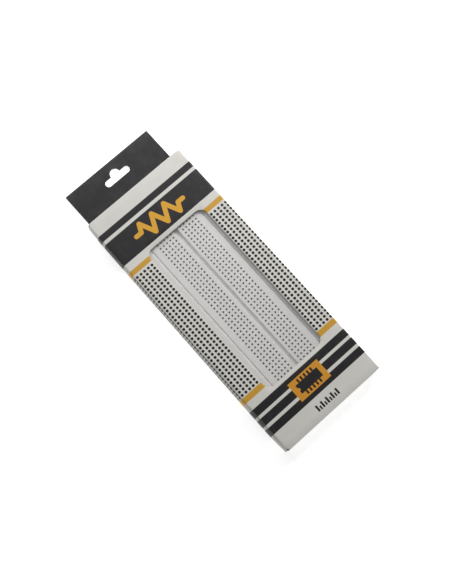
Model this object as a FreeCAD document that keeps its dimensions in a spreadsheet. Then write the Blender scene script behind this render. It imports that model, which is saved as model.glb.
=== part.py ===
"""Solderless breadboard in its printed window carton, with a hang tab.

The carton lies on its back: +X across the carton, +Y towards the hang tab, +Z out of the
printed front. The origin is the centre of the carton's back face. Millimetres.

The carton is one die-cut blank of card. Its five long panels wrap round the board, the
fifth lies over the back and carries the hang tab, and each end closes with two dust flaps
and a hinged closure whose tuck flap goes behind the front panel. The board is a terminal
strip with a bus strip keyed on each side, spring clips inside, and foam tape with a paper
liner underneath.
"""
import FreeCAD, Part
import os

import Sketcher

doc = FreeCAD.newDocument("boxed_breadboard")

# ---------------------------------------------------------------- driving dimensions

DIMENSIONS = [
    # carton
    ("card", 0.4, "thickness of the card"),
    ("carton_wide", 71.8, "outside, across X"),
    ("carton_long", 177.2, "outside, along Y, without the hang tab"),
    ("carton_deep", 12.6, "outside, along Z"),
    ("fold_radius", 0.8, "outside radius of a long fold"),
    ("fold_drop", 0.95, "how far a rolled long edge turns down before the side wall starts"),
    ("window_wide", 43.7, "opening in the front panel"),
    ("window_long", 107.9, "opening in the front panel"),
    ("window_x", 0.65, "centre of the window"),
    ("window_y", -1.5, "centre of the window"),
    ("window_radius", 5, "corner radius of the window"),
    ("film_sheet", 0.12, "thickness of the window film"),
    ("film_margin", 7, "width of film glued behind the card"),
    ("tab_wide", 65.3, "hang tab"),
    ("tab_x", -1.4, "the tab's centre line: it is cut a little left of the carton's"),
    ("tab_rise", 25.9, "hang tab's height above the carton"),
    ("tab_radius", 0.6, "corner radius of the hang tab"),
    ("tab_root", 1, "how far the tab laps the panel that it grows from"),
    ("slot_wide", 18.3, "hang slot"),
    ("slot_high", 4.4, "hang slot"),
    ("slot_radius", 2.1, "corner radius of the hang slot, which leaves a short flat at each end"),
    ("slot_rise", 15.1, "centre of the hang slot above the carton"),
    ("notch_radius", 3.3, "round notch over the middle of the slot"),
    ("notch_rise", 3.5, "top of the notch above the slot"),
    # ends
    ("ply_gap", 0.06, "air between a closure and its dust flaps"),
    ("closure_wide", 70.7, "closure, across X"),
    ("closure_radius", 0.32, "outside radius of the fold from a closure to its tuck flap"),
    ("tuck_wide", 45, "tuck flap, across X"),
    ("tuck_reach", 6, "tuck flap, from its fold to its free edge"),
    ("tuck_gap", 0.3, "air between the tuck flap and the front panel"),
    ("tuck_air", 0.02, "air between the tuck flap and its closure"),
    ("flap_reach", 12, "dust flap, from its fold to its free edge"),
    ("flap_slope", 0.6, "rise of the dust flap's relieved edge per millimetre of reach"),
    ("flap_start", 1.3, "height of the relieved edge at the fold"),
    ("flap_top", 11.3, "height of the dust flap's front edge"),
    # board
    ("board_long", 175, "along Y"),
    ("board_high", 8.5, "housing, along Z"),
    ("board_x", 1.5, "board's centre line: it lies towards the right wall"),
    ("terminal_wide", 38.2, "terminal strip, across X"),
    ("bus_wide", 14.3, "bus strip, across X"),
    ("strip_gap", 0.1, "air between neighbouring strips"),
    ("edge_chamfer", 0.7, "chamfer along the strips' top edges"),
    ("groove_wide", 2.8, "centre groove"),
    ("groove_deep", 2, "centre groove"),
    ("pitch", 2.54, "spacing of the contact holes"),
    ("columns", 64, "rows of five holes along the terminal strip"),
    ("hole_mouth", 1.15, "side of a hole at the surface"),
    ("hole_taper", 5, "slope of a hole's walls, in degrees"),
    ("deck", 1.2, "plastic over the clip cavities"),
    ("break_through", 0.02, "how far a hole runs on into its cavity"),
    ("cavity_wide", 1.7, "clip cavity, across the clip"),
    ("cavity_long", 12.4, "clip cavity, along a row of five holes"),
    ("bus_groups", 10, "groups of five holes along a bus strip"),
    ("bus_step", 6, "pitches from one group to the next"),
    ("bus_spread", 5.08, "distance between a bus strip's two lines"),
    ("key_neck", 3, "dovetail key, at its neck"),
    ("key_head", 4.4, "dovetail key, at its head"),
    ("key_reach", 1.4, "dovetail key, out of the strip's side"),
    ("key_high", 6.8, "dovetail key, up from the underside"),
    ("key_play", 0.1, "air round a key in its socket"),
    ("key_inner", 26, "first key from the middle of the strip"),
    ("key_outer", 74, "second key from the middle of the strip"),
    # contacts
    ("clip_sheet", 0.22, "thickness of the spring metal"),
    ("clip_half", 0.7, "half the clip's outside width at its foot"),
    ("clip_waist", 0.27, "half the clip's outside width where it grips a wire"),
    ("clip_mouth", 0.55, "half the clip's outside width at its flared top"),
    ("clip_foot", 0.3, "clip's underside above the housing's underside"),
    ("clip_bend", 4.4, "height where the leaves start to lean in"),
    ("clip_grip", 6.1, "height of the waist"),
    ("clip_top", 6.9, "height of the flared top"),
    ("clip_long", 12, "five-hole clip, along the row"),
    ("slit_wide", 0.5, "slit between two neighbouring contacts"),
    ("slit_floor", 1.2, "height of the slits' lower ends"),
    ("rail_spare", 1.2, "bus clip beyond its last hole"),
    # backing
    ("tape_thick", 0.8, "foam tape"),
    ("tape_inset", 0.6, "tape's edges inside the strip's edges"),
    ("liner_thick", 0.1, "paper liner"),
    ("liner_gap", 0.05, "air under the liner"),
]

dim = doc.addObject("Spreadsheet::Sheet", "dim")
for row, (alias, value, note) in enumerate(DIMENSIONS, start=1):
    dim.set(f"A{row}", alias)
    dim.set(f"B{row}", str(value))
    dim.set(f"C{row}", note)
    dim.setAlias(f"B{row}", alias)
doc.recompute()

# Lengths that follow from the sheet, as expressions.
HALF_WIDE = "dim.carton_wide / 2"
HALF_LONG = "dim.carton_long / 2"
BACK_INSIDE = "(2 * dim.card)"
FRONT_INSIDE = "(dim.carton_deep - dim.card)"
WALL_INSIDE = "(dim.carton_wide / 2 - dim.card)"
CLOSURE_INSIDE = "(dim.carton_long / 2 - dim.card)"
FLAP_OUTSIDE = "(dim.carton_long / 2 - dim.card - dim.ply_gap)"
TUCK_INSIDE = "(dim.carton_deep - 2 * dim.card - dim.tuck_gap)"
LINER_Z = f"({BACK_INSIDE} + dim.liner_gap)"
TAPE_Z = f"({LINER_Z} + dim.liner_thick)"
BOARD_Z = f"({TAPE_Z} + dim.tape_thick)"
BUS_X = "(dim.terminal_wide / 2 + dim.strip_gap + dim.bus_wide / 2)"
FIRST_HOLE = "1.5 * dim.pitch"
ROW_CENTRE = "3.5 * dim.pitch"
BUS_SPAN = "((dim.bus_groups - 1) * dim.bus_step + 4) * dim.pitch"

# ---------------------------------------------------------------- helpers


def value(expression):
    """The number that an expression on the sheet stands for."""
    return float(dim.evalExpression(expression))


def new_body(label):
    body = doc.addObject("PartDesign::Body", label)
    body.Label = label
    return body


def sketch(body, role, name, outlines=(), circles=(), lift="0"):
    """A sketch on one of the body's origin planes, each point bound to the sheet."""
    plane = [feature for feature in body.Origin.OriginFeatures if feature.Role == role][0]
    drawing = body.newObject("Sketcher::SketchObject", name)
    drawing.AttachmentSupport = [(plane, "")]
    drawing.MapMode = "FlatFace"
    drawing.setExpression("AttachmentOffset.Base.z", lift)
    for outline in outlines:
        first = drawing.GeometryCount
        points = [FreeCAD.Vector(value(x), value(y), 0) for x, y in outline]
        for start, end in zip(points, points[1:] + points[:1]):
            drawing.addGeometry(Part.LineSegment(start, end), False)
        for index, (x, y) in enumerate(outline):
            edge = first + index
            following = first + (index + 1) % len(outline)
            drawing.addConstraint(Sketcher.Constraint("Coincident", edge, 2, following, 1))
            for kind, size in (("DistanceX", x), ("DistanceY", y)):
                rule = Sketcher.Constraint(kind, -1, 1, edge, 1, value(size))
                number = drawing.addConstraint(rule)
                drawing.setExpression(f"Constraints[{number}]", size)
    for x, y, radius in circles:
        centre = FreeCAD.Vector(value(x), value(y), 0)
        ring = drawing.addGeometry(Part.Circle(centre, FreeCAD.Vector(0, 0, 1), value(radius)), False)
        for kind, size in (("DistanceX", x), ("DistanceY", y)):
            rule = Sketcher.Constraint(kind, -1, 1, ring, 3, value(size))
            number = drawing.addConstraint(rule)
            drawing.setExpression(f"Constraints[{number}]", size)
        number = drawing.addConstraint(Sketcher.Constraint("Radius", ring, value(radius)))
        drawing.setExpression(f"Constraints[{number}]", radius)
    return drawing


def rectangle(x_low, x_high, y_low, y_high):
    return [(x_low, y_low), (x_high, y_low), (x_high, y_high), (x_low, y_high)]


def square(x, y, side):
    """A square outline round a centre."""
    return rectangle(f"{x} - {side} / 2", f"{x} + {side} / 2", f"{y} - {side} / 2", f"{y} + {side} / 2")


def pad(body, drawing, length, midplane=False):
    feature = body.newObject("PartDesign::Pad", "Pad")
    feature.Profile = drawing
    feature.Midplane = midplane
    feature.setExpression("Length", length)
    doc.recompute()
    return feature


def cut(body, drawing, length, upward=False, midplane=False, taper=None):
    """A pocket that must take something away."""
    before = body.Shape.Volume
    feature = body.newObject("PartDesign::Pocket", "Pocket")
    feature.Profile = drawing
    feature.Reversed = upward
    feature.Midplane = midplane
    feature.setExpression("Length", length)
    if taper:
        feature.setExpression("TaperAngle", taper)
    doc.recompute()
    if feature.Shape.Volume > before - 1e-6:
        raise RuntimeError(f"{body.Label}: a pocket cut nothing")
    return feature


def pattern(body, features, drawing, axis, step, count):
    """Copies of some features at an even step."""
    row = body.newObject("PartDesign::LinearPattern", "LinearPattern")
    row.Originals = features
    row.Direction = (drawing, [axis])
    row.setExpression("Length", f"({step}) * ({count} - 1)")
    row.setExpression("Occurrences", count)
    row.Refine = False
    body.Tip = row
    doc.recompute()
    return row


NO_LENGTH = 1e-4


def same(first, second):
    """Whether two places on the solid are the same, to a hundredth of a millimetre."""
    return abs(first - second) < 0.01


def edges_along(feature, axis, test):
    """Names of straight edges along an axis whose middle passes a test."""
    names = []
    for number, edge in enumerate(feature.Shape.Edges, start=1):
        extent = edge.BoundBox
        spans = {"X": extent.XLength, "Y": extent.YLength, "Z": extent.ZLength}
        straight = all((size > NO_LENGTH) == (name == axis) for name, size in spans.items())
        if straight and test(edge.CenterOfMass):
            names.append(f"Edge{number}")
    return names


def soften(body, feature, names, radius, kind="Fillet"):
    """Fillets or chamfers some edges."""
    rounding = body.newObject(f"PartDesign::{kind}", kind)
    rounding.Base = (feature, names)
    rounding.setExpression("Radius" if kind == "Fillet" else "Size", radius)
    doc.recompute()
    return rounding


def place(thing, x="0", y="0", z="0"):
    for axis, offset in (("x", x), ("y", y), ("z", z)):
        thing.setExpression(f"Placement.Base.{axis}", offset)
    return thing


def box(label, size, corner):
    """A plain plate, from its sizes and its lowest corner."""
    plate = doc.addObject("Part::Box", label)
    plate.Label = label
    for name, length in zip(("Length", "Width", "Height"), size):
        plate.setExpression(name, length)
    return place(plate, *corner)


pieces = []

# ---------------------------------------------------------------- carton panels


def front_panel():
    """The printed front, rolled over at both long folds, with its window."""
    body = new_body("front_panel")
    drop = "(dim.carton_deep - dim.fold_drop)"
    section = [
        (f"-{HALF_WIDE}", drop), (f"-{WALL_INSIDE}", drop),
        (f"-{WALL_INSIDE}", FRONT_INSIDE), (WALL_INSIDE, FRONT_INSIDE),
        (WALL_INSIDE, drop), (HALF_WIDE, drop),
        (HALF_WIDE, "dim.carton_deep"), (f"-{HALF_WIDE}", "dim.carton_deep"),
    ]
    panel = pad(body, sketch(body, "XZ_Plane", "Section", [section]), "dim.carton_long", midplane=True)
    outer = edges_along(panel, "Y", lambda p: same(p.z, value("dim.carton_deep")))
    panel = soften(body, panel, outer, "dim.fold_radius")
    inner = edges_along(panel, "Y", lambda p: same(p.z, value(FRONT_INSIDE))
                        and same(abs(p.x), value(WALL_INSIDE)))
    soften(body, panel, inner, "dim.fold_radius - dim.card")
    window = rectangle("dim.window_x - dim.window_wide / 2", "dim.window_x + dim.window_wide / 2",
                       "dim.window_y - dim.window_long / 2", "dim.window_y + dim.window_long / 2")
    opening = sketch(body, "XY_Plane", "Window", [window], lift="dim.carton_deep")
    panel = cut(body, opening, "dim.carton_deep / 2")
    corners = edges_along(panel, "Z", lambda p: same(abs(p.x - value("dim.window_x")),
                                                     value("dim.window_wide / 2")))
    soften(body, panel, corners, "dim.window_radius")
    return body


def side_panel(label, side):
    """A side wall between its front and back folds."""
    outer = f"{side} * {HALF_WIDE}" if side > 0 else f"-{HALF_WIDE}"
    corner_x = f"{outer} - dim.card" if side > 0 else outer
    low = "dim.fold_drop" if side < 0 else "dim.card + dim.fold_drop"
    height = f"dim.carton_deep - dim.fold_drop - ({low})"
    return box(label, ("dim.card", f"2 * {FLAP_OUTSIDE}", height), (corner_x, f"-{FLAP_OUTSIDE}", low))


def back_sheet(label, side, level, length):
    """A back panel that rolls up at one long edge into a side wall."""
    body = new_body(label)
    rolled = f"{side} * {HALF_WIDE}"
    wall = f"{side} * {WALL_INSIDE}"
    free = f"{-side} * ({WALL_INSIDE} - (dim.fold_radius - dim.card) - dim.ply_gap)"
    top = f"{level} + dim.fold_drop"
    section = [(rolled, level), (rolled, top), (wall, top), (wall, f"{level} + dim.card"),
               (free, f"{level} + dim.card"), (free, level)]
    panel = pad(body, sketch(body, "XZ_Plane", "Section", [section]), length, midplane=True)
    outer = edges_along(panel, "Y", lambda p: same(p.z, value(level))
                        and p.x * side > value(WALL_INSIDE))
    panel = soften(body, panel, outer, "dim.fold_radius")
    inner = edges_along(panel, "Y", lambda p: same(p.z, value(f"{level} + dim.card"))
                        and same(p.x, value(wall)))
    soften(body, panel, inner, "dim.fold_radius - dim.card")
    return body


def tab_sheet(body, level, low):
    """One ply of the hang tab, with its slot and the round notch over it."""
    top = f"{HALF_LONG} + dim.tab_rise"
    slot = f"{HALF_LONG} + dim.slot_rise"
    outline = rectangle("dim.tab_x - dim.tab_wide / 2", "dim.tab_x + dim.tab_wide / 2", low, top)
    tab = pad(body, sketch(body, "XY_Plane", "Tab", [outline], lift=level), "dim.card")
    corners = edges_along(tab, "Z", lambda p: same(p.y, value(top)))
    soften(body, tab, corners, "dim.tab_radius")
    opening = rectangle("dim.tab_x - dim.slot_wide / 2", "dim.tab_x + dim.slot_wide / 2",
                        f"{slot} - dim.slot_high / 2", f"{slot} + dim.slot_high / 2")
    above = f"{level} + dim.card"
    tab = cut(body, sketch(body, "XY_Plane", "Slot", [opening], lift=above), "2 * dim.card")
    ends = edges_along(tab, "Z", lambda p: same(abs(p.x - value("dim.tab_x")), value("dim.slot_wide / 2")))
    soften(body, tab, ends, "dim.slot_radius")
    centre = f"{slot} + dim.slot_high / 2 + dim.notch_rise - dim.notch_radius"
    notch = [("dim.tab_x", centre, "dim.notch_radius")]
    cut(body, sketch(body, "XY_Plane", "Notch", circles=notch, lift=above), "2 * dim.card")
    return body


def window_film():
    """Clear film glued behind the window."""
    wide = "dim.window_wide + 2 * dim.film_margin"
    length = "dim.window_long + 2 * dim.film_margin"
    corner = (f"dim.window_x - ({wide}) / 2", f"dim.window_y - ({length}) / 2",
              f"{FRONT_INSIDE} - dim.film_sheet")
    return box("window_film", (wide, length, "dim.film_sheet"), corner)


pieces.append(front_panel())
pieces.append(side_panel("left_side_panel", -1))
pieces.append(side_panel("right_side_panel", 1))
pieces.append(back_sheet("back_panel", 1, "dim.card", "dim.carton_long"))
hanger = back_sheet("hanger_panel", -1, "0", "dim.carton_long")
pieces.append(tab_sheet(hanger, "0", f"{HALF_LONG} - dim.tab_root"))
pieces.append(tab_sheet(new_body("hang_tab_fold"), "dim.card", f"{HALF_LONG} + dim.ply_gap"))
pieces.append(window_film())

# ---------------------------------------------------------------- carton ends


def closure(label, end):
    """The panel that shuts one end, hinged at the back panel's inner face."""
    start = CLOSURE_INSIDE if end > 0 else f"-{HALF_LONG}"
    body = new_body(label)
    outline = rectangle("-dim.closure_wide / 2", "dim.closure_wide / 2", start, f"{start} + dim.card")
    height = f"{TUCK_INSIDE} + dim.card - {BACK_INSIDE}"
    panel = pad(body, sketch(body, "XY_Plane", "Plate", [outline], lift=BACK_INSIDE), height)
    rim = edges_along(panel, "X", lambda p: same(abs(p.y), value(HALF_LONG))
                      and p.z > value(TUCK_INSIDE))
    soften(body, panel, rim, "dim.closure_radius")
    return body


def tuck_flap(label, end):
    """The flap folded in from the closure, behind the front panel."""
    body = new_body(label)
    fold = f"{end} * ({CLOSURE_INSIDE} - dim.tuck_air)"
    free = f"{end} * ({CLOSURE_INSIDE} - dim.tuck_reach)"
    outline = rectangle("-dim.tuck_wide / 2", "dim.tuck_wide / 2", fold, free)
    flap = pad(body, sketch(body, "XY_Plane", "Plate", [outline], lift=TUCK_INSIDE), "dim.card")
    corners = edges_along(flap, "Z", lambda p: same(p.y, value(free)))
    soften(body, flap, corners, "dim.tuck_reach / 2")
    return body


def dust_flap(label, side, end):
    """An inner flap folded in from a side wall, relieved where the closure swings past."""
    body = new_body(label)
    fold = f"{side} * {WALL_INSIDE}"
    free = f"{side} * ({WALL_INSIDE} - dim.flap_reach)"
    tip = "dim.flap_start + dim.flap_slope * dim.flap_reach"
    outline = [(fold, "dim.flap_start"), (free, tip), (free, "dim.flap_top"), (fold, "dim.flap_top")]
    outside = f"{end} * {FLAP_OUTSIDE}"
    # The sketch plane's normal is -Y, so a lift is a distance along -Y.
    lift = f"-({outside})" if end > 0 else f"-({outside}) - dim.card"
    pad(body, sketch(body, "XZ_Plane", "Plate", [outline], lift=lift), "dim.card")
    return body


for end_name, end in (("top", 1), ("bottom", -1)):
    pieces.append(closure(f"{end_name}_closure", end))
    pieces.append(tuck_flap(f"{end_name}_tuck_flap", end))
    pieces.append(dust_flap(f"{end_name}_left_dust_flap", -1, end))
    pieces.append(dust_flap(f"{end_name}_right_dust_flap", 1, end))

# ---------------------------------------------------------------- board housings
# Each strip is built about its own centre line, standing on z = 0, and placed afterwards.


def strip_block(body, wide):
    """The solid strip, chamfered along its long top edges."""
    outline = rectangle(f"-{wide} / 2", f"{wide} / 2", "-dim.board_long / 2", "dim.board_long / 2")
    block = pad(body, sketch(body, "XY_Plane", "Block", [outline]), "dim.board_high")
    rims = edges_along(block, "Y", lambda p: same(p.z, value("dim.board_high")))
    return soften(body, block, rims, "dim.edge_chamfer", kind="Chamfer")


def dovetails(wide, side, grow="0"):
    """Key outlines along one side of a strip; grow makes them into sockets."""
    face = f"{side} * {wide} / 2"
    tip = f"{face} + {side} * (dim.key_reach + {grow})"
    outlines = []
    for centre in ("-dim.key_outer", "-dim.key_inner", "dim.key_inner", "dim.key_outer"):
        neck = f"(dim.key_neck / 2 + {grow})"
        head = f"(dim.key_head / 2 + {grow})"
        outlines.append([(face, f"{centre} - {neck}"), (tip, f"{centre} - {head}"),
                         (tip, f"{centre} + {head}"), (face, f"{centre} + {neck}")])
    return outlines


def add_keys(body, wide):
    """Dovetail keys on the strip's right side."""
    return pad(body, sketch(body, "XY_Plane", "Keys", dovetails(wide, 1)), "dim.key_high")


def add_sockets(body, wide):
    """Dovetail sockets in the strip's left side, open below."""
    outlines = []
    for outline in dovetails(wide, -1, "dim.key_play"):
        outlines.append([(f"-({x}) - {wide}", y) for x, y in outline])
    drawing = sketch(body, "XY_Plane", "Sockets", outlines)
    return cut(body, drawing, "dim.key_high + dim.key_play", upward=True)


def terminal_strip():
    """The middle strip: a centre groove and 64 rows of five holes on each side of it."""
    body = new_body("terminal_strip_housing")
    strip_block(body, "dim.terminal_wide")
    groove = rectangle("-dim.groove_wide / 2", "dim.groove_wide / 2",
                       "-dim.board_long / 2 - 1", "dim.board_long / 2 + 1")
    cut(body, sketch(body, "XY_Plane", "Groove", [groove], lift="dim.board_high"), "dim.groove_deep")
    add_keys(body, "dim.terminal_wide")
    add_sockets(body, "dim.terminal_wide")
    start = "-(dim.columns - 1) / 2 * dim.pitch"
    holes = [square(f"{side} * ({FIRST_HOLE} + {number} * dim.pitch)", start, "dim.hole_mouth")
             for side in (-1, 1) for number in range(5)]
    mouths = sketch(body, "XY_Plane", "Holes", holes, lift="dim.board_high")
    holes_cut = cut(body, mouths, "dim.deck + dim.break_through", taper="-dim.hole_taper")
    cavities = [rectangle(f"{side} * {ROW_CENTRE} - dim.cavity_long / 2",
                          f"{side} * {ROW_CENTRE} + dim.cavity_long / 2",
                          f"{start} - dim.cavity_wide / 2", f"{start} + dim.cavity_wide / 2")
                for side in (-1, 1)]
    cells = cut(body, sketch(body, "XY_Plane", "Cavities", cavities), "dim.board_high - dim.deck",
                upward=True)
    pattern(body, [holes_cut, cells], mouths, "V_Axis", "dim.pitch", "dim.columns")
    return place(body, "dim.board_x", "0", BOARD_Z)


def bus_strip(label, side):
    """A side strip: two lines of holes in groups of five, with a long cavity under each."""
    body = new_body(label)
    strip_block(body, "dim.bus_wide")
    if side < 0:
        add_keys(body, "dim.bus_wide")
    else:
        add_sockets(body, "dim.bus_wide")
    lines = ("-dim.bus_spread / 2", "dim.bus_spread / 2")
    slots = [rectangle(f"{line} - dim.cavity_wide / 2", f"{line} + dim.cavity_wide / 2",
                       f"-{BUS_SPAN} / 2 - 2 * dim.rail_spare", f"{BUS_SPAN} / 2 + 2 * dim.rail_spare")
             for line in lines]
    cut(body, sketch(body, "XY_Plane", "Cavities", slots), "dim.board_high - dim.deck", upward=True)
    holes = [square(line, f"-{BUS_SPAN} / 2 + {number} * dim.pitch", "dim.hole_mouth")
             for line in lines for number in range(5)]
    mouths = sketch(body, "XY_Plane", "Holes", holes, lift="dim.board_high")
    holes_cut = cut(body, mouths, "dim.deck + dim.break_through", taper="-dim.hole_taper")
    pattern(body, [holes_cut], mouths, "V_Axis", "dim.bus_step * dim.pitch", "dim.bus_groups")
    return place(body, f"dim.board_x + {side} * {BUS_X}", "0", BOARD_Z)


pieces.append(terminal_strip())
pieces.append(bus_strip("left_bus_housing", -1))
pieces.append(bus_strip("right_bus_housing", 1))

# ---------------------------------------------------------------- spring clips


def clip_section():
    """Outline of a bent clip: a flat foot and two leaves that pinch and flare."""
    half = [
        ("dim.clip_half", "dim.clip_foot"), ("dim.clip_half", "dim.clip_bend"),
        ("dim.clip_waist", "dim.clip_grip"), ("dim.clip_mouth", "dim.clip_top"),
        ("dim.clip_mouth - dim.clip_sheet", "dim.clip_top"),
        ("dim.clip_waist - dim.clip_sheet", "dim.clip_grip"),
        ("dim.clip_half - dim.clip_sheet", "dim.clip_bend"),
        ("dim.clip_half - dim.clip_sheet", "dim.clip_foot + dim.clip_sheet"),
    ]
    return half + [(f"-({x})", z) for x, z in reversed(half)]


def slit(centre):
    """A gap between two neighbouring contacts, from the slit floor up."""
    return rectangle(f"{centre} - dim.slit_wide / 2", f"{centre} + dim.slit_wide / 2",
                     "dim.slit_floor", "dim.clip_top + 1")


def terminal_clips(label, side):
    """Sixty-four separate clips, one under each row of five holes."""
    body = new_body(label)
    body.AllowCompound = True
    start = "-(dim.columns - 1) / 2 * dim.pitch"
    section = [(f"{y} + {start}", z) for y, z in clip_section()]
    drawing = sketch(body, "YZ_Plane", "Section", [section], lift=f"{side} * {ROW_CENTRE}")
    metal = pad(body, drawing, "dim.clip_long", midplane=True)
    pattern(body, [metal], drawing, "H_Axis", "dim.pitch", "dim.columns")
    gaps = [slit(f"{side} * {ROW_CENTRE} + {number} * dim.pitch") for number in (-1.5, -0.5, 0.5, 1.5)]
    cut(body, sketch(body, "XZ_Plane", "Slits", gaps), "dim.board_long", midplane=True)
    return place(body, "dim.board_x", "0", BOARD_Z)


def bus_clip(label, side, line):
    """One long clip under a line of bus holes, slit between every two holes."""
    body = new_body(label)
    drawing = sketch(body, "XZ_Plane", "Section", [clip_section()])
    pad(body, drawing, f"{BUS_SPAN} + 2 * dim.rail_spare", midplane=True)
    gap = slit(f"-{BUS_SPAN} / 2 + dim.pitch / 2")
    cuts = sketch(body, "YZ_Plane", "Slit", [gap])
    slits = cut(body, cuts, "2 * dim.cavity_wide", midplane=True)
    count = "((dim.bus_groups - 1) * dim.bus_step + 4)"
    pattern(body, [slits], cuts, "H_Axis", "dim.pitch", count)
    return place(body, f"dim.board_x + {side} * {BUS_X} + {line} * dim.bus_spread / 2", "0", BOARD_Z)


pieces.append(terminal_clips("terminal_clips_left", -1))
pieces.append(terminal_clips("terminal_clips_right", 1))
for side_name, side in (("left", -1), ("right", 1)):
    pieces.append(bus_clip(f"{side_name}_bus_clip_outer", side, side))
    pieces.append(bus_clip(f"{side_name}_bus_clip_inner", side, -side))

# ---------------------------------------------------------------- backing


def tape(label, centre, wide):
    """Foam tape stuck to a strip's underside."""
    width = f"{wide} - 2 * dim.tape_inset"
    length = "dim.board_long - 2 * dim.tape_inset"
    corner = (f"dim.board_x + {centre} - ({width}) / 2", f"-({length}) / 2", TAPE_Z)
    return box(label, (width, length, "dim.tape_thick"), corner)


pieces.append(tape("terminal_foam_tape", "0", "dim.terminal_wide"))
pieces.append(tape("left_bus_foam_tape", f"-{BUS_X}", "dim.bus_wide"))
pieces.append(tape("right_bus_foam_tape", BUS_X, "dim.bus_wide"))
liner_wide = "dim.terminal_wide + 2 * dim.strip_gap + 2 * dim.bus_wide"
pieces.append(box("release_liner", (liner_wide, "dim.board_long", "dim.liner_thick"),
                  (f"dim.board_x - ({liner_wide}) / 2", "-dim.board_long / 2", LINER_Z)))

# ---------------------------------------------------------------- check and write

doc.recompute()
for thing in doc.Objects:
    if "Invalid" in thing.State or "Error" in thing.State:
        raise RuntimeError(f"{thing.Label} failed: {thing.State}")
os.makedirs("parts", exist_ok=True)
for piece in pieces:
    if piece.Shape.isNull() or not piece.Shape.isValid():
        raise RuntimeError(f"{piece.Label} has no valid shape")
for piece in pieces:
    piece.Shape.exportStep(f"parts/{piece.Label}.step")
    limits = piece.Shape.BoundBox
    print(f"{piece.Label:28s} solids {len(piece.Shape.Solids):3d}  volume {piece.Shape.Volume:10.2f}"
          f"  x {limits.XMin:.2f} {limits.XMax:.2f}  y {limits.YMin:.2f} {limits.YMax:.2f}"
          f"  z {limits.ZMin:.2f} {limits.ZMax:.2f}")
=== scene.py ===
import math

import bmesh
import bpy
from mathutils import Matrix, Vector


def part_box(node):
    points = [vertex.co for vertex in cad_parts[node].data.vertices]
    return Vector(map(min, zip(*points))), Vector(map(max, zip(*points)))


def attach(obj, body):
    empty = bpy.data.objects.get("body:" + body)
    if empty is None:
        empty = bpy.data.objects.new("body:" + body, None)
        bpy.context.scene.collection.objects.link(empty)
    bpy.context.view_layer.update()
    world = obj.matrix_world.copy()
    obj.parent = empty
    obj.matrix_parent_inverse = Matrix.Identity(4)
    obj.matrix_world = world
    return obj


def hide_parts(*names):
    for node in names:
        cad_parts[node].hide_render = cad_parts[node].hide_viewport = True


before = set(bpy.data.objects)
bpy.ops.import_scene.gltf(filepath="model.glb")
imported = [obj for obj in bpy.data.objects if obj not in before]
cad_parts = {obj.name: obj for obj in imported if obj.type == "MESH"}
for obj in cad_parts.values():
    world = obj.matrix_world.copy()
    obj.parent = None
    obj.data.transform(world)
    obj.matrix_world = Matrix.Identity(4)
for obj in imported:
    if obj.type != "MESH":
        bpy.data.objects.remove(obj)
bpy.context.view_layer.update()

# A solderless breadboard in its printed window carton. Lengths are in millimetres unless a
# name says otherwise, and MM turns them into the frame's metres.
MM = 0.001

# ---------------------------------------------------------------- sizes, most of them from the frame


def box_mm(node):
    """Lowest and highest corner of a CAD node at rest, in millimetres."""
    low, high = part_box(node)
    return Vector(low) / MM, Vector(high) / MM


front_low, front_high = box_mm("front_panel")
film_low, film_high = box_mm("window_film")
tab_low, tab_high = box_mm("hang_tab_fold")

HALF_WIDE = front_high.x
HALF_LONG = front_high.y
TOP = front_high.z
CARD = TOP - film_high.z
FOLD_RADIUS = 2 * CARD
FOLD_DROP = TOP - front_low.z
FOLD_STEPS = 6
FLAT_X = HALF_WIDE - FOLD_RADIUS
FILM_MARGIN = 7
FILM_AIR = 0.02
WINDOW_LOW = Vector((film_low.x + FILM_MARGIN, film_low.y + FILM_MARGIN))
WINDOW_HIGH = Vector((film_high.x - FILM_MARGIN, film_high.y - FILM_MARGIN))
WINDOW_RADIUS = 5
FRONT_SAG = 0.22
FILM_SLACK = 0.12
TOP_CORNER = 2.4
CLIPPED_CORNER = 1.6

# ---------------------------------------------------------------- printed pattern, on the front

STRIPES = [(74.6, 78.7), (55.2, 72.4), (-62.6, -57.8), (-69.4, -64.5), (-76.2, -71.4)]
BARS = [(47.1, 50.3), (-52.7, -49.1)]
DOT_RADIUS = 0.88
DOT_STEP_X = 2.83
DOT_STEP_Y = 2.435
DOT_LEFT_X = -34.3
DOT_RIGHT_X = 23.8
DOT_TOP_Y = 44.9
DOT_COLUMNS = 5
DOT_ROWS = 39
SIDE_DOT_DROP = 1.7
SIDE_DOT_COLUMNS = 2
PRINT_EDGE = 0.07
FOLD_WEAR = 1.1
FOLD_STREAKS = 9
TAB_TOP_WEAR = 1.6
TAB_SIDE_WEAR = 1.0
# How far down from the tab's top edge its painted sheen reaches.
TAB_SHEEN_REACH = 11
SYMBOL_CENTRE = (-0.5, 63.9)
SYMBOL_HALF = 18.2
ZIGZAG_HALF = 14.4
ZIGZAG_PEAKS = 6
ZIGZAG_HEIGHT = 5.1
SYMBOL_STROKE = 1.45
PANEL_CENTRE = (0.35, -66.9)
PANEL_HALF = (11.45, 6.4)
CHIP_HALF = (8.2, 3.0)
CHIP_PIN_REACH = 5.4
CHIP_PIN_STEP = 2.54
CHIP_PIN_HALF = 0.62
CHIP_PIN_MARGIN = 1.2
CHIP_NOTCH_RADIUS = 1.1
SCALE_CENTRE = (0.7, -82)
SCALE_HALF = 8.6
SCALE_STEP = 1.9
SCALE_RISE = 2.0
SCALE_SHORT_RISE = 0.6 * SCALE_RISE
SCALE_TICK_HALF = 0.52
SCALE_LONG_TICK_HALF = 0.64

# ---------------------------------------------------------------- colours


def srgb(red, green, blue):
    """A display colour, 0 to 255, as linear light."""
    def linear(level):
        level /= 255
        return level / 12.92 if level <= 0.04045 else ((level + 0.055) / 1.055) ** 2.4
    return linear(red), linear(green), linear(blue), 1


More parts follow.
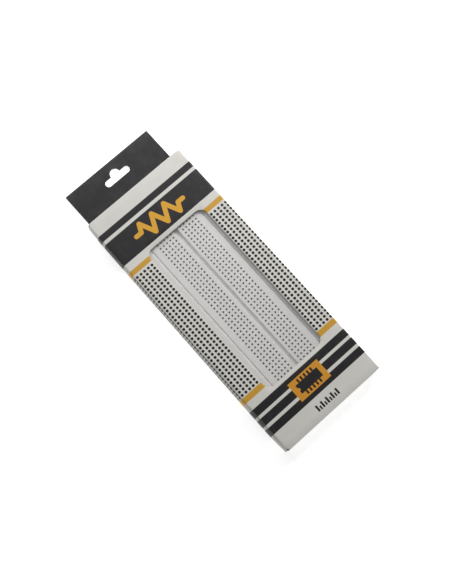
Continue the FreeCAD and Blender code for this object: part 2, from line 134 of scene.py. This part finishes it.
PAPER_WHITE = srgb(231, 229, 223)
PAPER_SHADE = srgb(227, 225, 218)
# The sides' white is darker than the front's paper: painted shade on the side walls.
SIDE_WHITE_PAINTED_SHADE = srgb(208, 206, 199)
SIDE_BLOTCH_PAINTED_SHADE = srgb(194, 192, 184)
RAW_CARD = srgb(190, 184, 172)
RAW_FLECK = srgb(160, 152, 138)
INK_BLACK = srgb(33, 31, 34)
INK_DOT = srgb(17, 15, 18)
INK_BLACK_FLECK = srgb(44, 42, 45)
INK_BLACK_WORN = srgb(84, 82, 82)
# A paler black: painted sheen on the ink of the sides and tab, and painted reflection with wear in the
# streaks near the front's folds.
INK_BLACK_SHEEN_AND_WEAR = srgb(70, 70, 69)
INK_AMBER = srgb(232, 172, 50)
INK_BAR = srgb(218, 166, 58)
INK_ORANGE = srgb(226, 156, 46)
HOUSING_WHITE = srgb(249, 247, 247)
HOUSING_SHADE = srgb(243, 240, 241)

# ---------------------------------------------------------------- shader helper


class Shader:
    """A material whose nodes are written as small expressions."""

    def __init__(self, name):
        self.material = bpy.data.materials.new(name)
        self.material.use_nodes = True
        self.nodes = self.material.node_tree.nodes
        self.links = self.material.node_tree.links
        self.nodes.clear()
        place = self.nodes.new("ShaderNodeTexCoord").outputs["Object"]
        scaled = self.nodes.new("ShaderNodeVectorMath")
        scaled.operation = "SCALE"
        scaled.inputs["Scale"].default_value = 1 / MM
        self.links.new(place, scaled.inputs[0])
        self.place = scaled.outputs[0]
        self.x, self.y, self.z = self.split(self.place)
        facing = self.nodes.new("ShaderNodeTexCoord").outputs["Normal"]
        self.facing_x, self.facing_y, self.facing_z = self.split(facing)

    def feed(self, socket, given):
        if isinstance(given, bpy.types.NodeSocket):
            self.links.new(given, socket)
        else:
            socket.default_value = given

    def split(self, vector):
        parts = self.nodes.new("ShaderNodeSeparateXYZ")
        self.links.new(vector, parts.inputs[0])
        return parts.outputs

    def calculate(self, operation, first, second=0.0):
        node = self.nodes.new("ShaderNodeMath")
        node.operation = operation
        self.feed(node.inputs[0], first)
        self.feed(node.inputs[1], second)
        return node.outputs[0]

    def add(self, first, second):
        return self.calculate("ADD", first, second)

    def minus(self, first, second):
        return self.calculate("SUBTRACT", first, second)

    def times(self, first, second):
        return self.calculate("MULTIPLY", first, second)

    def either(self, *masks):
        total = masks[0]
        for mask in masks[1:]:
            total = self.calculate("MAXIMUM", total, mask)
        return total

    def size_of(self, number):
        return self.calculate("ABSOLUTE", number)

    def ramp(self, number, low, high, from_value=0.0, to_value=1.0):
        """A smooth change from one value to another as a number rises from low to high."""
        node = self.nodes.new("ShaderNodeMapRange")
        node.interpolation_type = "SMOOTHSTEP"
        self.feed(node.inputs["Value"], number)
        names = ("From Min", "From Max", "To Min", "To Max")
        for name, given in zip(names, (low, high, from_value, to_value)):
            self.feed(node.inputs[name], given)
        return node.outputs["Result"]

    def above(self, number, edge, soft=PRINT_EDGE):
        return self.ramp(number, edge - soft, edge + soft)

    def below(self, number, edge, soft=PRINT_EDGE):
        return self.ramp(number, edge - soft, edge + soft, 1.0, 0.0)

    def band(self, number, low, high, soft=PRINT_EDGE):
        return self.times(self.above(number, low, soft), self.below(number, high, soft))

    def within(self, x, y, half_x, half_y):
        """A rectangle about the origin of x and y."""
        return self.times(self.below(self.size_of(x), half_x), self.below(self.size_of(y), half_y))

    def repeat(self, number, start, step):
        """Distance past the nearest of evenly spaced lines, negative before it."""
        shifted = self.minus(number, start - step / 2)
        return self.minus(self.calculate("FLOORED_MODULO", shifted, step), step / 2)

    def distance(self, x, y):
        return self.calculate("SQRT", self.add(self.times(x, x), self.times(y, y)))

    def noise(self, grain, detail=3.0, stretch=(1, 1, 1), roughness=0.55):
        """Noise from 0 to 1 whose blotches are about grain millimetres."""
        node = self.nodes.new("ShaderNodeTexNoise")
        stretched = self.nodes.new("ShaderNodeVectorMath")
        stretched.operation = "MULTIPLY"
        stretched.inputs[1].default_value = stretch
        self.links.new(self.place, stretched.inputs[0])
        self.links.new(stretched.outputs[0], node.inputs["Vector"])
        node.inputs["Scale"].default_value = 1 / grain
        node.inputs["Detail"].default_value = detail
        node.inputs["Roughness"].default_value = roughness
        return node.outputs["Fac"]

    def mix(self, amount, first, second):
        node = self.nodes.new("ShaderNodeMix")
        node.data_type = "RGBA"
        self.feed(node.inputs[0], amount)
        self.feed(node.inputs[6], first)
        self.feed(node.inputs[7], second)
        return node.outputs[2]

    def bump(self, height, depth, strength=1.0, under=None):
        """A bump whose full height is depth millimetres."""
        node = self.nodes.new("ShaderNodeBump")
        node.inputs["Strength"].default_value = strength
        node.inputs["Distance"].default_value = depth * MM
        self.feed(node.inputs["Height"], height)
        if under:
            self.links.new(under, node.inputs["Normal"])
        return node.outputs[0]

    def surface(self, **given):
        """Ends the tree in a principled surface; names are its sockets with _ for spaces."""
        shader = self.nodes.new("ShaderNodeBsdfPrincipled")
        for name, value in given.items():
            self.feed(shader.inputs[name.replace("_", " ")], value)
        return self.finish(shader.outputs[0])

    def blend(self, amount, first, second):
        """Two surfaces mixed; an amount of 0 is all the first."""
        node = self.nodes.new("ShaderNodeMixShader")
        self.feed(node.inputs[0], amount)
        self.links.new(first, node.inputs[1])
        self.links.new(second, node.inputs[2])
        return node.outputs[0]

    def finish(self, surface):
        output = self.nodes.new("ShaderNodeOutputMaterial")
        self.links.new(surface, output.inputs["Surface"])
        return self.material


# ---------------------------------------------------------------- card


def card_grain(shader):
    """Fine tooth of coated board over its slow unevenness."""
    tooth = shader.bump(shader.noise(0.35, 4), 0.012, 0.6)
    return shader.bump(shader.noise(9, 2), 0.08, 0.5, under=tooth)


def card_white(shader):
    """Coated white with faint blotches."""
    return shader.mix(shader.ramp(shader.noise(14, 3), 0.35, 0.7), PAPER_WHITE, PAPER_SHADE)


def raw_card(shader):
    """The uncoated inside and cut edges, flecked with fibres."""
    fleck = shader.ramp(shader.noise(0.5, 5, stretch=(1, 0.35, 1)), 0.52, 0.68)
    return shader.mix(fleck, RAW_CARD, RAW_FLECK)


def finish_card(shader, colour, printed):
    """Satin where it is coated or inked, dull where it is raw."""
    rough = shader.ramp(shader.noise(3, 3), 0.3, 0.7, 0.4, 0.52)
    dull = shader.add(rough, shader.times(shader.minus(1.0, printed), 0.35))
    return shader.surface(Base_Color=colour, Roughness=dull, Normal=card_grain(shader),
                          Specular_IOR_Level=0.38)


def coated_mask(shader, facing):
    """The coated side of the card: the faces that look out, by their normal's share outward."""
    return shader.above(facing, 0.3, 0.1)


def black_ink(shader, grain, low):
    """Black with paler flecks; low is the noise level where the flecks begin."""
    return shader.mix(shader.ramp(shader.noise(grain, 4), low, 0.75), INK_BLACK, INK_BLACK_FLECK)


def stripes_mask(shader, bands):
    return shader.either(*[shader.band(shader.y, low, high) for low, high in bands])


def dots_mask(shader, across, first, columns):
    """Rows of round dots, like the holes of the board underneath."""
    dx = shader.repeat(across, first, DOT_STEP_X)
    dy = shader.repeat(shader.y, DOT_TOP_Y, DOT_STEP_Y)
    last = first + (columns - 1) * DOT_STEP_X
    bottom = DOT_TOP_Y - (DOT_ROWS - 1) * DOT_STEP_Y
    field = shader.times(shader.band(across, first - DOT_STEP_X / 2, last + DOT_STEP_X / 2),
                         shader.band(shader.y, bottom - DOT_STEP_Y / 2, DOT_TOP_Y + DOT_STEP_Y / 2))
    return shader.times(field, shader.below(shader.distance(dx, dy), DOT_RADIUS))


def stroke_mask(shader, x, y, start, end):
    """A straight stroke with round ends."""
    run = (end[0] - start[0], end[1] - start[1])
    length = math.hypot(*run)
    along = (run[0] / length, run[1] / length)
    dx = shader.minus(x, start[0])
    dy = shader.minus(y, start[1])
    forward = shader.add(shader.times(dx, along[0]), shader.times(dy, along[1]))
    sideways = shader.minus(shader.times(dy, along[0]), shader.times(dx, along[1]))
    from_middle = shader.size_of(shader.minus(forward, length / 2))
    beyond = shader.either(shader.minus(from_middle, length / 2), 0.0)
    return shader.below(shader.distance(beyond, sideways), SYMBOL_STROKE)


def resistor_mask(shader):
    """A zigzag resistor symbol with a short lead at each end."""
    x = shader.minus(shader.x, SYMBOL_CENTRE[0])
    y = shader.minus(shader.y, SYMBOL_CENTRE[1])
    step = 2 * ZIGZAG_HALF / ZIGZAG_PEAKS
    peaks = [(-ZIGZAG_HALF + step * (number + 0.5), ZIGZAG_HEIGHT * (-1) ** number)
             for number in range(ZIGZAG_PEAKS)]
    line = [(-SYMBOL_HALF, 0), (-ZIGZAG_HALF, 0)] + peaks + [(ZIGZAG_HALF, 0), (SYMBOL_HALF, 0)]
    strokes = [stroke_mask(shader, x, y, start, end) for start, end in zip(line, line[1:])]
    return shader.either(*strokes)


def chip_mask(shader):
    """A plain dual-in-line chip with its pins and end notch."""
    x = shader.minus(shader.x, PANEL_CENTRE[0])
    y = shader.minus(shader.y, PANEL_CENTRE[1])
    notch = shader.below(shader.distance(shader.add(x, CHIP_HALF[0]), y), CHIP_NOTCH_RADIUS)
    case = shader.times(shader.within(x, y, *CHIP_HALF), shader.minus(1.0, notch))
    pin = shader.below(shader.size_of(shader.repeat(x, 0, CHIP_PIN_STEP)), CHIP_PIN_HALF)
    pins = shader.times(pin, shader.within(x, y, CHIP_HALF[0] - CHIP_PIN_MARGIN, CHIP_PIN_REACH))
    return shader.either(case, shader.times(pins, shader.above(shader.size_of(y), CHIP_HALF[1])))


def scale_mask(shader):
    """A row of scale ticks, every second one longer."""
    x = shader.minus(shader.x, SCALE_CENTRE[0])
    y = shader.minus(shader.y, SCALE_CENTRE[1])
    tick = shader.below(shader.size_of(shader.repeat(x, 0, SCALE_STEP)), SCALE_TICK_HALF)
    long_tick = shader.below(shader.size_of(shader.repeat(x, 0, 2 * SCALE_STEP)), SCALE_LONG_TICK_HALF)
    tall = shader.times(long_tick, shader.within(x, y, SCALE_HALF, SCALE_RISE))
    low_y = shader.add(y, SCALE_RISE - SCALE_SHORT_RISE)
    short = shader.times(tick, shader.within(x, low_y, SCALE_HALF, SCALE_SHORT_RISE))
    return shader.either(tall, short)


def printed_front_material():
    shader = Shader("printed_card_front")
    coated = coated_mask(shader, shader.facing_z)
    colour = card_white(shader)
    side = shader.size_of(shader.x)
    wear = shader.times(shader.ramp(side, HALF_WIDE - FOLD_WEAR, HALF_WIDE - 0.1),
                        shader.ramp(shader.noise(0.6, 4), 0.5, 0.62))
    # Paler streaks in the black near the folds: painted reflection of the glossy ink, and wear.
    streaks = shader.times(shader.ramp(side, HALF_WIDE - FOLD_STREAKS, HALF_WIDE - 1),
                           shader.ramp(shader.noise(1.3, 4, stretch=(1, 0.22, 1)), 0.54, 0.72))
    ink = black_ink(shader, 5, 0.5)
    ink = shader.mix(shader.times(streaks, 0.6), ink, INK_BLACK_SHEEN_AND_WEAR)
    ink = shader.mix(shader.times(wear, 0.7), ink, INK_BLACK_WORN)
    colour = shader.mix(stripes_mask(shader, STRIPES), colour, ink)
    colour = shader.mix(stripes_mask(shader, BARS), colour, INK_BAR)
    colour = shader.mix(resistor_mask(shader), colour, INK_AMBER)
    panel_x = shader.minus(shader.x, PANEL_CENTRE[0])
    panel_y = shader.minus(shader.y, PANEL_CENTRE[1])
    colour = shader.mix(shader.within(panel_x, panel_y, *PANEL_HALF), colour, INK_ORANGE)
    dots = shader.either(dots_mask(shader, shader.x, DOT_LEFT_X, DOT_COLUMNS),
                         dots_mask(shader, shader.x, DOT_RIGHT_X, DOT_COLUMNS))
    colour = shader.mix(dots, colour, INK_DOT)
    colour = shader.mix(shader.either(chip_mask(shader), scale_mask(shader)), colour, INK_BLACK)
    colour = shader.mix(coated, raw_card(shader), colour)
    return finish_card(shader, colour, coated)


def side_material():
    """The stripes, bars and dots of the front run on round the fold and down the sides, over a white
    darkened as painted shade and a black paled as painted sheen.
    """
    shader = Shader("printed_card_side")
    outward = shader.times(shader.facing_x, shader.calculate("SIGN", shader.x))
    coated = coated_mask(shader, outward)
    down = shader.minus(TOP, shader.z)
    dots = dots_mask(shader, down, SIDE_DOT_DROP, SIDE_DOT_COLUMNS)
    # Painted shade: the sides' white is darker than the front's paper, with faint blotches.
    white = shader.mix(shader.ramp(shader.noise(10, 4), 0.35, 0.7), SIDE_WHITE_PAINTED_SHADE, SIDE_BLOTCH_PAINTED_SHADE)
    # Painted sheen: the black on the sides is paler than the front's, as glossy ink looks at a slant,
    # in streaky patches.
    painted_sheen = shader.ramp(shader.noise(2, 4, stretch=(1, 0.4, 1)), 0.4, 0.7)
    ink = shader.mix(painted_sheen, INK_BLACK_FLECK, INK_BLACK_SHEEN_AND_WEAR)
    colour = shader.mix(stripes_mask(shader, STRIPES), white, ink)
    colour = shader.mix(stripes_mask(shader, BARS), colour, INK_BAR)
    colour = shader.mix(dots, colour, INK_DOT)
    return finish_card(shader, shader.mix(coated, raw_card(shader), colour), coated)


def plain_card_material(name, axis, outward):
    """White outside and raw inside; axis and outward say which faces look out."""
    shader = Shader(name)
    facing = {"x": shader.facing_x, "y": shader.facing_y, "z": shader.facing_z}[axis]
    coated = coated_mask(shader, shader.times(facing, outward))
    colour = shader.mix(coated, raw_card(shader), card_white(shader))
    return finish_card(shader, colour, coated)


def back_material():
    """The outer back ply: white, and black on both sides of the hang tab."""
    shader = Shader("card_back_and_tab")
    coated = shader.above(shader.size_of(shader.facing_z), 0.6, 0.1)
    ink = black_ink(shader, 5, 0.5)
    on_tab = shader.above(shader.y, HALF_LONG + 0.2)
    colour = shader.mix(on_tab, card_white(shader), ink)
    return finish_card(shader, shader.mix(coated, raw_card(shader), colour), coated)


def tab_material():
    """Black ink with scuffed, paler rims, and paler towards the top edge with a painted sheen."""
    shader = Shader("card_black_tab")
    coated = coated_mask(shader, shader.facing_z)
    aside = shader.size_of(shader.minus(shader.x, (tab_low.x + tab_high.x) / 2))
    half_wide = (tab_high.x - tab_low.x) / 2
    rim = shader.either(shader.ramp(shader.y, tab_high.y - TAB_TOP_WEAR, tab_high.y),
                        shader.ramp(aside, half_wide - TAB_SIDE_WEAR, half_wide))
    scuff = shader.times(rim, shader.ramp(shader.noise(1.2, 5), 0.42, 0.66))
    # Painted sheen: the black grows paler in slow patches towards the top of the tab.
    painted_sheen = shader.times(shader.ramp(shader.y, tab_high.y - TAB_SHEEN_REACH, tab_high.y),
                          shader.ramp(shader.noise(9, 3), 0.2, 0.8))
    ink = black_ink(shader, 7, 0.4)
    ink = shader.mix(shader.times(painted_sheen, 0.5), ink, INK_BLACK_SHEEN_AND_WEAR)
    ink = shader.mix(scuff, ink, INK_BLACK_WORN)
    return finish_card(shader, shader.mix(coated, raw_card(shader), ink), coated)


# ---------------------------------------------------------------- board, metal and film


def housing_material():
    """Moulded white plastic, faintly translucent, with a fine satin texture."""
    shader = Shader("moulded_white_plastic")
    flow = shader.ramp(shader.noise(22, 2, stretch=(1, 0.25, 1)), 0.35, 0.7)
    texture = shader.bump(shader.noise(0.22, 3), 0.01, 0.5)
    sink = shader.bump(shader.noise(12, 1), 0.05, 0.5, under=texture)
    rough = shader.ramp(shader.noise(2, 3), 0.3, 0.7, 0.36, 0.47)
    colour = shader.mix(flow, HOUSING_WHITE, HOUSING_SHADE)
    return shader.surface(Base_Color=colour, Roughness=rough, IOR=1.53, Normal=sink,
                          Subsurface_Weight=0.12, Subsurface_Radius=(1, 0.96, 0.92),
                          Subsurface_Scale=1.2 * MM)


def spring_metal_material():
    """Nickel-plated strip, drawn along its length and slightly tarnished."""
    shader = Shader("nickel_plated_strip")
    drawn = shader.noise(0.25, 4, stretch=(0.1, 1, 1))
    tarnish = shader.ramp(shader.noise(3, 4), 0.45, 0.8)
    colour = shader.mix(tarnish, srgb(206, 202, 192), srgb(176, 164, 140))
    rough = shader.ramp(drawn, 0.3, 0.7, 0.22, 0.4)
    return shader.surface(Base_Color=colour, Metallic=1.0, Roughness=rough,
                          Normal=shader.bump(drawn, 0.006))


def foam_material():
    shader = Shader("foam_tape")
    cells = shader.noise(0.5, 5, roughness=0.7)
    colour = shader.mix(shader.ramp(cells, 0.4, 0.65), srgb(228, 226, 220), srgb(202, 199, 190))
    return shader.surface(Base_Color=colour, Roughness=0.9, Normal=shader.bump(cells, 0.15))


def liner_material():
    shader = Shader("release_paper")
    fibres = shader.noise(0.8, 5, stretch=(1, 0.4, 1))
    colour = shader.mix(shader.ramp(fibres, 0.4, 0.7), srgb(226, 214, 176), srgb(214, 200, 160))
    return shader.surface(Base_Color=colour, Roughness=0.34, Normal=shader.bump(fibres, 0.02))


def film_material():
    """Clear film, slightly cloudy, whose two faces shine more when seen at a slant."""
    shader = Shader("clear_film")
    clear = shader.nodes.new("ShaderNodeBsdfTransparent")
    clear.inputs["Color"].default_value = (0.985, 0.985, 0.98, 1)
    haze = shader.nodes.new("ShaderNodeBsdfDiffuse")
    haze.inputs["Color"].default_value = (0.93, 0.92, 0.915, 1)
    gloss = shader.nodes.new("ShaderNodeBsdfGlossy")
    gloss.inputs["Roughness"].default_value = 0.12
    shader.links.new(shader.bump(shader.noise(16, 2), 0.12, 0.6), gloss.inputs["Normal"])
    cloud = shader.ramp(shader.noise(24, 3), 0.3, 0.75, 0.03, 0.06)
    cloudy = shader.blend(cloud, clear.outputs[0], haze.outputs[0])
    slant = shader.nodes.new("ShaderNodeLayerWeight")
    slant.inputs["Blend"].default_value = 0.5
    glare = shader.calculate("POWER", slant.outputs["Facing"], 4.0)
    mirror = shader.add(shader.times(glare, 0.3), 0.022)
    return shader.finish(shader.blend(mirror, cloudy, gloss.outputs[0]))


# ---------------------------------------------------------------- shaped sheets


def sag(x, y):
    """How far the front dips at a place: most beside the window, none at the folds and ends."""
    across = max(0.0, 1 - (x / HALF_WIDE) ** 2)
    along = max(0.0, 1 - (y / HALF_LONG) ** 2)
    wave = 0.25 * math.sin(y / 21 + 0.6) * math.cos(x / 17)
    return FRONT_SAG * across * along * (1 + wave)


def between(start, end, part):
    """The point a part of the way from one to another."""
    return start[0] + (end[0] - start[0]) * part, start[1] + (end[1] - start[1]) * part


def join_rows(bm, rows, flipped=False):
    """Faces between the rows of a grid of vertices."""
    for row, following in zip(rows, rows[1:]):
        for i in range(len(row) - 1):
            corners = (row[i], row[i + 1], following[i + 1], following[i])
            bm.faces.new(corners[::-1] if flipped else corners)


def smooth_mesh(name, bm):
    """The finished sheet as a mesh with smooth faces that all face one way."""
    bmesh.ops.recalc_face_normals(bm, faces=bm.faces)
    mesh = bpy.data.meshes.new(name)
    bm.to_mesh(mesh)
    bm.free()
    for polygon in mesh.polygons:
        polygon.use_smooth = True
    return mesh


def thicken(piece, amount, offset):
    """Makes a sheet a closed plate: an offset of -1 grows it inward, 1 outward."""
    thickness = piece.modifiers.new("thickness", "SOLIDIFY")
    thickness.thickness = amount * MM
    thickness.offset = offset
    return thickness


def new_piece(name, mesh, material, body, slot, *replaced):
    """Makes a mesh into a piece that rides on a body and stands for CAD nodes."""
    piece = bpy.data.objects.new(name, mesh)
    bpy.context.collection.objects.link(piece)
    mesh.materials.append(material)
    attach(piece, body)
    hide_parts(*replaced)
    return piece


def on_corner(centre, turn):
    """A point on the arc that rounds a corner of the window."""
    return centre[0] + WINDOW_RADIUS * math.cos(turn), centre[1] + WINDOW_RADIUS * math.sin(turn)


def window_outline(per_side, per_corner):
    """Points round the window, one list per side, from the middle of its lower left corner."""
    centres = [
        (WINDOW_LOW.x + WINDOW_RADIUS, WINDOW_LOW.y + WINDOW_RADIUS),
        (WINDOW_HIGH.x - WINDOW_RADIUS, WINDOW_LOW.y + WINDOW_RADIUS),
        (WINDOW_HIGH.x - WINDOW_RADIUS, WINDOW_HIGH.y - WINDOW_RADIUS),
        (WINDOW_LOW.x + WINDOW_RADIUS, WINDOW_HIGH.y - WINDOW_RADIUS),
    ]
    sides = []
    for side in range(4):
        start, end = centres[side], centres[(side + 1) % 4]
        out = math.radians(-90 + 90 * side)
        points = []
        for step in range(per_corner):
            points.append(on_corner(start, out - math.radians(45) * (1 - step / per_corner)))
        for step in range(per_side + 1):
            points.append(on_corner(between(start, end, step / per_side), out))
        for step in range(1, per_corner + 1):
            points.append(on_corner(end, out + math.radians(45) * step / per_corner))
        sides.append(points[:-1])
    return sides


def trimmed(x, y):
    """The y of a point on the front, kept inside its rounded top corners and clipped lower left one."""
    beside = max(0.0, abs(x) - (HALF_WIDE - TOP_CORNER))
    limit = HALF_LONG - TOP_CORNER + math.sqrt(max(0.0, TOP_CORNER ** 2 - beside ** 2))
    clipped = -HALF_LONG + max(0.0, -x - (HALF_WIDE - CLIPPED_CORNER))
    return max(min(y, limit), clipped)


def roll_fold(bm, edge, direction):
    """Rolls the front over one long edge and a little way down, from its row of edge vertices."""
    for step in range(1, FOLD_STEPS + 2):
        turn = math.radians(90) * min(step, FOLD_STEPS) / FOLD_STEPS
        x = direction * (FLAT_X + FOLD_RADIUS * math.sin(turn))
        drop = FOLD_RADIUS * (1 - math.cos(turn)) if step <= FOLD_STEPS else FOLD_DROP
        following = []
        for vert in edge:
            y = trimmed(x, vert.co.y / MM)
            following.append(bm.verts.new((x * MM, y * MM, (TOP - drop) * MM)))
        join_rows(bm, [edge, following])
        edge = following


def front_sheet():
    """The front as one sheet of card: round its window, dipping slightly, rolled at both folds."""
    rings = 7
    corners = [(-FLAT_X, -HALF_LONG), (FLAT_X, -HALF_LONG), (FLAT_X, HALF_LONG), (-FLAT_X, HALF_LONG)]
    sides = window_outline(per_side=36, per_corner=8)
    inner, outer = [], []
    for side, points in enumerate(sides):
        start, end = corners[side], corners[(side + 1) % 4]
        for step, point in enumerate(points):
            inner.append(point)
            outer.append(between(start, end, step / len(points)))
    bm = bmesh.new()
    grid = []
    for ring in range(rings + 1):
        row = []
        for near, far in zip(inner, outer):
            x, y = between(near, far, ring / rings)
            row.append(bm.verts.new((x * MM, trimmed(x, y) * MM, (TOP - sag(x, y)) * MM)))
        grid.append(row + row[:1])
    join_rows(bm, grid)
    per_side = len(sides[0])
    rim = grid[-1]
    roll_fold(bm, rim[per_side:2 * per_side + 1], 1)
    roll_fold(bm, rim[3 * per_side:], -1)
    piece = new_piece("front_sheet", smooth_mesh("front_sheet", bm), printed_front_material(),
                      "carton", "card_white", "front_panel")
    thicken(piece, CARD, -1).use_even_offset = True
    eased = piece.modifiers.new("eased_edges", "BEVEL")
    eased.width = 0.06 * MM
    eased.segments = 2
    eased.limit_method = "ANGLE"
    eased.angle_limit = math.radians(60)


def film_sheet():
    """The window film, following the front's dip, with a slight slackness of its own."""
    across, along = 30, 60
    bm = bmesh.new()
    rows = []
    for j in range(along + 1):
        y = film_low.y + (film_high.y - film_low.y) * j / along
        row = []
        for i in range(across + 1):
            x = film_low.x + (film_high.x - film_low.x) * i / across
            inside = max(0.0, math.sin(math.pi * i / across) * math.sin(math.pi * j / along))
            slack = FILM_SLACK * inside * (1 + 0.6 * math.sin(y / 15) * math.sin(x / 9 + 1))
            z = film_high.z - FILM_AIR - sag(x, y) - slack
            row.append(bm.verts.new((x * MM, y * MM, z * MM)))
        rows.append(row)
    join_rows(bm, rows)
    piece = new_piece("film_sheet", smooth_mesh("film_sheet", bm), film_material(),
                      "carton", "clear_film", "window_film")
    thicken(piece, film_high.z - film_low.z, -1)


def side_sheet(name, node, side, swell_top, swell_bottom):
    """A side wall that bows outward between its folds, more towards one end."""
    low, high = box_mm(node)
    across, along = 10, 60
    inner = side * (HALF_WIDE - CARD)
    bm = bmesh.new()
    rows = []
    for j in range(along + 1):
        part = j / along
        y = low.y + (high.y - low.y) * part
        swell = swell_bottom + (swell_top - swell_bottom) * part
        end_fade = min(1.0, 0.55 + 6 * min(part, 1 - part))
        row = []
        for i in range(across + 1):
            z = low.z + (high.z - low.z) * i / across
            bow = swell * end_fade * math.sin(math.pi * i / across)
            row.append(bm.verts.new(((inner + side * bow) * MM, y * MM, z * MM)))
        rows.append(row)
    join_rows(bm, rows, flipped=side > 0)
    piece = new_piece(name, smooth_mesh(name, bm), side_material(), "carton", "card_white", node)
    thicken(piece, CARD, 1)


# ---------------------------------------------------------------- dress the CAD nodes


def dress(material, *nodes):
    for node in nodes:
        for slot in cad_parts[node].material_slots:
            slot.material = material


def dress_all():
    dress(plain_card_material("card_inner_back", "z", -1), "back_panel")
    dress(back_material(), "hanger_panel")
    dress(tab_material(), "hang_tab_fold")
    for end, outward in (("top", 1), ("bottom", -1)):
        dress(plain_card_material(f"card_{end}_end", "y", outward), f"{end}_closure",
              f"{end}_left_dust_flap", f"{end}_right_dust_flap")
    dress(plain_card_material("card_tuck", "z", 1), "top_tuck_flap", "bottom_tuck_flap")
    dress(housing_material(), "terminal_strip_housing", "left_bus_housing", "right_bus_housing")
    clips = [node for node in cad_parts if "_clip" in node]
    dress(spring_metal_material(), *clips)
    dress(foam_material(), "terminal_foam_tape", "left_bus_foam_tape", "right_bus_foam_tape")
    dress(liner_material(), "release_liner")


# ---------------------------------------------------------------- floor, light and camera


def floor():
    """A plain white sheet under and round the carton."""
    bpy.ops.mesh.primitive_plane_add(size=4, location=(0, 0, -0.05 * MM))
    sheet = bpy.context.object
    sheet.name = "floor"
    material = bpy.data.materials.new("floor_white")
    material.use_nodes = True
    surface = material.node_tree.nodes["Principled BSDF"]
    surface.inputs["Base Color"].default_value = (0.93, 0.93, 0.93, 1)
    surface.inputs["Roughness"].default_value = 0.8
    surface.inputs["Emission Color"].default_value = (1, 1, 1, 1)
    surface.inputs["Emission Strength"].default_value = 0.7
    sheet.data.materials.append(material)


def area_light(name, place, size, power, colour):
    """A square soft light that looks at the carton; its place and size are in metres."""
    light = bpy.data.lights.new(name, "AREA")
    light.size = size
    light.energy = power
    light.color = colour
    lamp = bpy.data.objects.new(name, light)
    lamp.location = place
    lamp.rotation_euler = (-Vector(place)).to_track_quat("-Z", "Y").to_euler()
    bpy.context.collection.objects.link(lamp)


def lights():
    area_light("key", (0.34, 0.16, 0.36), 0.18, 1.45, (1.0, 0.985, 0.96))
    area_light("fill", (0.06, 0.36, 0.42), 0.4, 0.8, (0.97, 0.985, 1.0))
    world = bpy.data.worlds.new("studio")
    world.use_nodes = True
    world.node_tree.nodes["Background"].inputs["Color"].default_value = (0.97, 0.98, 1, 1)
    world.node_tree.nodes["Background"].inputs["Strength"].default_value = 0.185
    bpy.context.scene.world = world
    bpy.context.scene.view_settings.view_transform = "Standard"


FOCAL_PIXELS = 904.05
IMAGE_HEIGHT_PIXELS = 584


def camera():
    """Above the carton and a little to its lower left, turned so that the tab points up left."""
    eye = bpy.data.cameras.new("camera")
    eye.sensor_fit = "VERTICAL"
    eye.sensor_height = 36
    eye.lens = FOCAL_PIXELS / IMAGE_HEIGHT_PIXELS * eye.sensor_height
    viewer = bpy.data.objects.new("camera", eye)
    viewer.location = (-69.14 * MM, -67.64 * MM, 534.19 * MM)
    viewer.rotation_euler = [math.radians(angle) for angle in (10.702, -0.372, -41.652)]
    bpy.context.collection.objects.link(viewer)
    bpy.context.scene.camera = viewer


camera()
front_sheet()
film_sheet()
side_sheet("left_wall", "left_side_panel", -1, swell_top=1.1, swell_bottom=2.0)
side_sheet("right_wall", "right_side_panel", 1, swell_top=0.5, swell_bottom=0.9)
dress_all()
floor()
lights()
